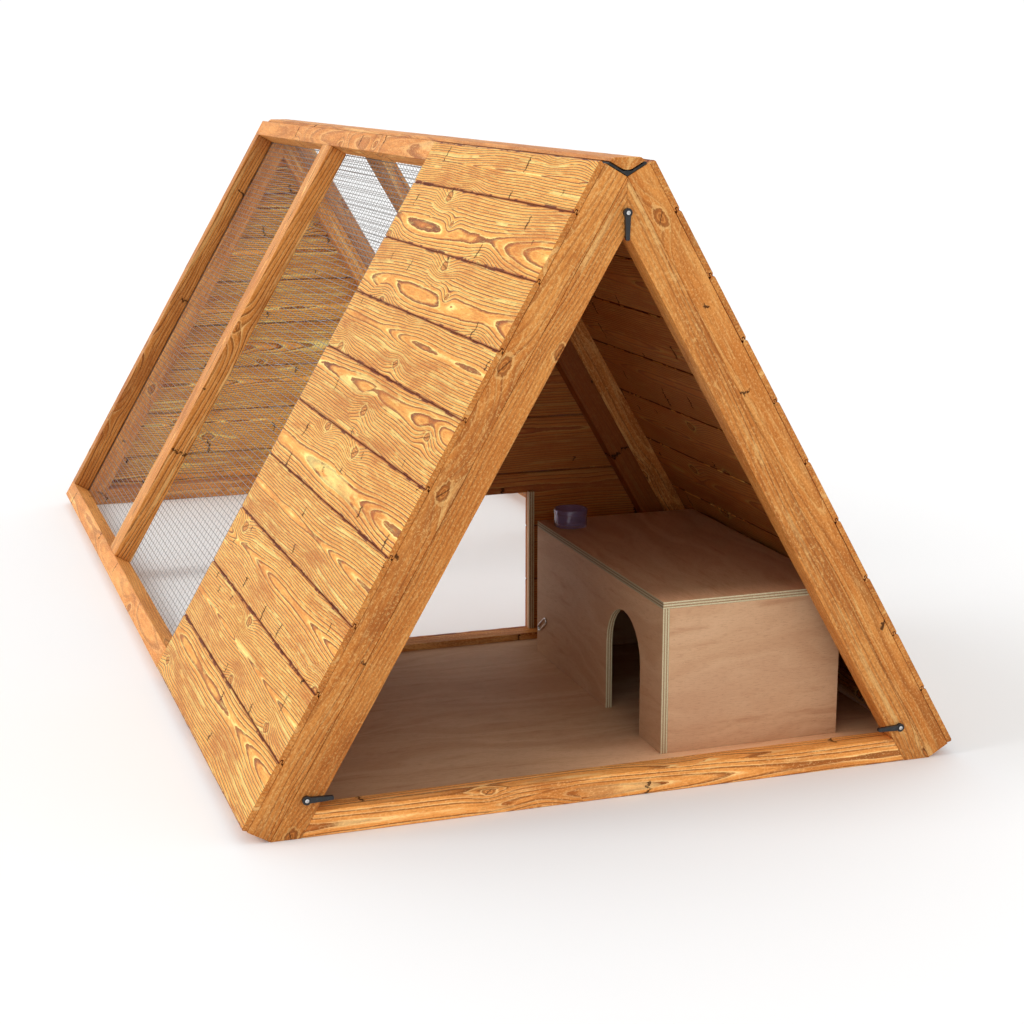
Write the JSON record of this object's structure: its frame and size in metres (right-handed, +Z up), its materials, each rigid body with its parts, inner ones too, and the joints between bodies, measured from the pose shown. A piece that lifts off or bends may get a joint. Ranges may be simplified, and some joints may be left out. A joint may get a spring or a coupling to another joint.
{
  "type": "rabbit hutch",
  "caption": "Triangular garden hutch for a rabbit: boarded shelter with a plywood nest box at the open front end and a wire mesh run behind it",
  "frame": {"origin": "middle of the footprint, on the ground, at the centre of the bounding box's base", "axes": "+Z up, +Y runs back from the open shelter end to the closed rear gable, +X to the right seen from the open end"},
  "size_m": [1.2924, 2.6144, 1.0692],
  "materials": {
    "stained_pine": "satin golden-brown stain over pine",
    "plywood": "plain sanded birch-faced plywood",
    "galvanised_wire": "galvanised",
    "black_strip": "matt",
    "black_plastic": "satin",
    "violet_glass": "clear tinted"
  },
  "bodies": {
    "hutch": {"front_frame_left_rafter": "stained_pine", "front_frame_right_rafter": "stained_pine", "front_frame_sill": "stained_pine", "left_board_01": "stained_pine", "left_board_02": "stained_pine", "left_board_03": "stained_pine", "left_board_04": "stained_pine", "left_board_05": "stained_pine", "left_board_06": "stained_pine", "left_board_07": "stained_pine", "left_board_08": "stained_pine", "left_board_09": "stained_pine", "left_board_10": "stained_pine", "left_bottom_rail": "stained_pine", "left_end_rafter": "stained_pine", "left_front_rafter": "stained_pine", "left_run_mesh": "galvanised_wire", "left_run_rafter": "stained_pine", "left_shelter_rafter": "stained_pine", "left_top_rail": "stained_pine", "nest_back": "plywood", "nest_front": "plywood", "nest_left_side": "plywood", "nest_lid": "plywood", "nest_right_side": "plywood", "partition_boards": "stained_pine", "partition_left_rafter": "stained_pine", "partition_right_rafter": "stained_pine", "partition_sill": "stained_pine", "pop_hole_jamb": "plywood", "rear_frame_left_rafter": "stained_pine", "rear_frame_right_rafter": "stained_pine", "rear_frame_sill": "stained_pine", "rear_gable_boards": "stained_pine", "ridge_strip": "black_strip", "ridge_wedge": "stained_pine", "right_board_01": "stained_pine", "right_board_02": "stained_pine", "right_board_03": "stained_pine", "right_board_04": "stained_pine", "right_board_05": "stained_pine", "right_board_06": "stained_pine", "right_board_07": "stained_pine", "right_board_08": "stained_pine", "right_board_09": "stained_pine", "right_board_10": "stained_pine", "right_bottom_rail": "stained_pine", "right_end_rafter": "stained_pine", "right_front_rafter": "stained_pine", "right_run_mesh": "galvanised_wire", "right_run_rafter": "stained_pine", "right_shelter_rafter": "stained_pine", "right_top_rail": "stained_pine", "shelter_floor": "plywood", "water_pot": "violet_glass"},
    "turn_button_top": {"turn_button_top": "black_plastic"},
    "turn_button_left": {"turn_button_left": "black_plastic"},
    "turn_button_right": {"turn_button_right": "black_plastic"}
  },
  "joints": [
    {"name": "turn_button_top_turn", "type": "hinge", "parent": "hutch", "child": "turn_button_top", "pos_m": [0, -1.30415, 0.983], "axis": [0, -1, 0], "continuous": true},
    {"name": "turn_button_left_turn", "type": "hinge", "parent": "hutch", "child": "turn_button_left", "pos_m": [-0.54, -1.30415, 0.065], "axis": [0, -1, 0], "continuous": true},
    {"name": "turn_button_right_turn", "type": "hinge", "parent": "hutch", "child": "turn_button_right", "pos_m": [0.535, -1.30415, 0.065], "axis": [0, -1, 0], "continuous": true}
  ]
}
